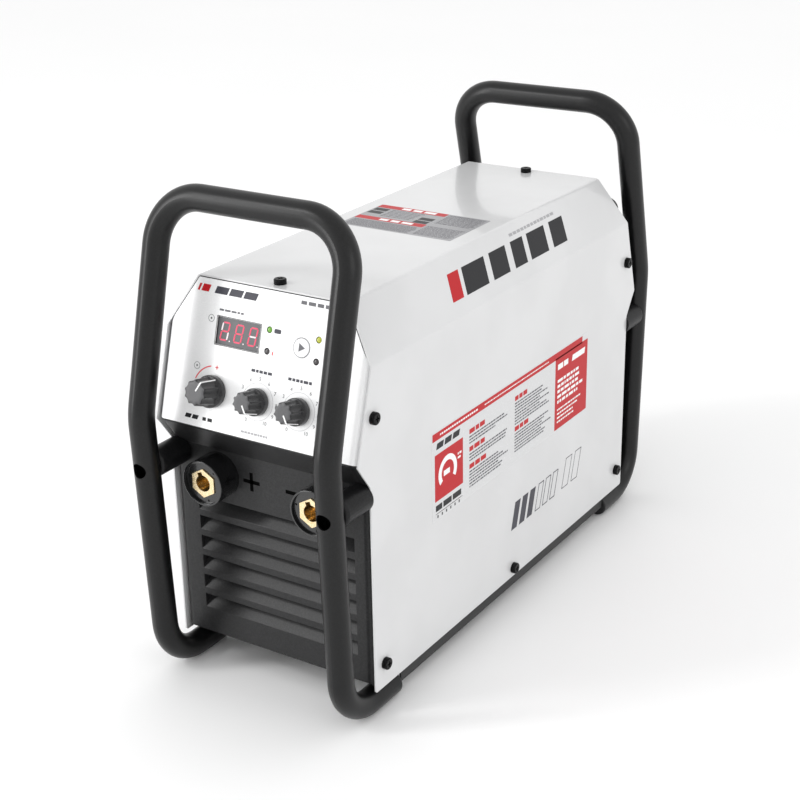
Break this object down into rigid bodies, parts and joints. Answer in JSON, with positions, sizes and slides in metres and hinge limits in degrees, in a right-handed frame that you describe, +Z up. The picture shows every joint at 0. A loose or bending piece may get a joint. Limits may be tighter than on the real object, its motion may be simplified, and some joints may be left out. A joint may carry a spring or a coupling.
{
  "type": "stick welding inverter",
  "caption": "Portable stick welding inverter: folded white cover between black moulded ends, sloping control console, dials, two output sockets, louvres, and tubular end hoops.",
  "frame": {"origin": "on the floor under the middle of the machine", "axes": "+Z up, +Y from the control console towards the fan, +X to the right seen from the console"},
  "size_m": [0.192, 0.5254, 0.394],
  "materials": {
    "cover_paint": "gloss powder coat, white",
    "black_moulding": "fine matt texture",
    "hoop_paint": "black powder coat, fine texture",
    "console_print": "silver printed film",
    "base_paint": "black",
    "black_screw": "black oxide",
    "zinc_steel": "bright zinc",
    "knob_plastic": "matt black",
    "gloss_black": "polished",
    "brass": "machined",
    "display_face": "smoked",
    "segment_red": "lit",
    "segment_pale": "unlit",
    "lamp_green": "clear",
    "lamp_lime": "clear",
    "lamp_dark": "clear",
    "button_white": "satin film",
    "board_green": "solder mask",
    "part_grey": "moulded",
    "seal_rubber": "matt",
    "sink_aluminium": "extruded",
    "copper": "bare copper",
    "can_black": "sleeved",
    "core_steel": "ferrite and steel",
    "tray_steel": "galvanised"
  },
  "bodies": {
    "housing": {"cover": "cover_paint", "cover_screws": "black_screw", "base_pan": "base_paint", "front_hoop": "hoop_paint", "rear_hoop": "hoop_paint", "hoop_caps": "black_moulding", "spacers": "gloss_black", "hoop_bolts": "black_screw", "hoop_nuts": "zinc_steel", "foot_bolts": "zinc_steel", "front_bezel": "black_moulding", "rear_bezel": "black_moulding", "console_film": "console_print", "display_block": "display_face", "display_lit_bars": "segment_red", "display_dark_bars": "segment_pale", "power_lamp": "lamp_green", "mode_lamp": "lamp_lime", "alarm_lamps": "lamp_dark", "control_board": "board_green", "dial_pots": "part_grey", "pot_nuts": "zinc_steel", "button_switch": "part_grey", "positive_sleeve": "gloss_black", "negative_sleeve": "gloss_black", "positive_insert": "brass", "negative_insert": "brass", "socket_collars": "gloss_black", "socket_ring_nuts": "part_grey", "stud_nuts": "zinc_steel", "fan_frame": "black_moulding", "fan_spindle": "zinc_steel", "fan_guard": "black_screw", "fan_screws": "black_screw", "switch_body": "gloss_black", "gland_body": "part_grey", "gland_cap": "part_grey", "gland_seal": "seal_rubber", "gland_locknut": "part_grey", "inner_tray": "tray_steel", "standoffs": "part_grey", "power_board": "board_green", "heatsinks": "sink_aluminium", "power_transistors": "can_black", "capacitors": "can_black", "transformer_core": "core_steel", "transformer_coil": "copper", "choke_core": "core_steel", "choke_coil": "copper", "busbars": "copper"},
    "current_dial": {"current_knob": "knob_plastic", "current_shaft": "zinc_steel"},
    "hot_start_dial": {"hot_start_knob": "knob_plastic", "hot_start_shaft": "zinc_steel"},
    "arc_force_dial": {"arc_force_knob": "knob_plastic", "arc_force_shaft": "zinc_steel"},
    "mode_button": {"mode_button": "button_white"},
    "power_switch": {"switch_rocker": "gloss_black", "switch_pin": "zinc_steel"},
    "fan": {"fan_rotor": "part_grey"}
  },
  "joints": [
    {"name": "current_dial_turn", "type": "hinge", "parent": "housing", "child": "current_dial", "pos_m": [-0.0414, -0.21958, 0.24019], "axis": [0, -0.9595, 0.2817], "range_deg": [-121, 179]},
    {"name": "hot_start_turn", "type": "hinge", "parent": "housing", "child": "hot_start_dial", "pos_m": [-0.0003, -0.21958, 0.24019], "axis": [0, -0.9595, 0.2817], "range_deg": [0, 300]},
    {"name": "arc_force_turn", "type": "hinge", "parent": "housing", "child": "arc_force_dial", "pos_m": [0.0364, -0.21958, 0.24019], "axis": [0, -0.9595, 0.2817], "range_deg": [0, 300]},
    {"name": "mode_button_press", "type": "slide", "parent": "housing", "child": "mode_button", "axis": [0, 0.9595, -0.2817], "range_m": [0, 0.0008], "stiffness_N_per_m": 900, "springref_m": -0.0006},
    {"name": "power_switch_rock", "type": "hinge", "parent": "housing", "child": "power_switch", "pos_m": [-0.038, 0.20857, 0.27625], "axis": [1, 0, 0], "range_deg": [0, 24]},
    {"name": "fan_spin", "type": "hinge", "parent": "housing", "child": "fan", "pos_m": [0, 0.19, 0.1125], "axis": [0, 1, 0], "continuous": true}
  ]
}
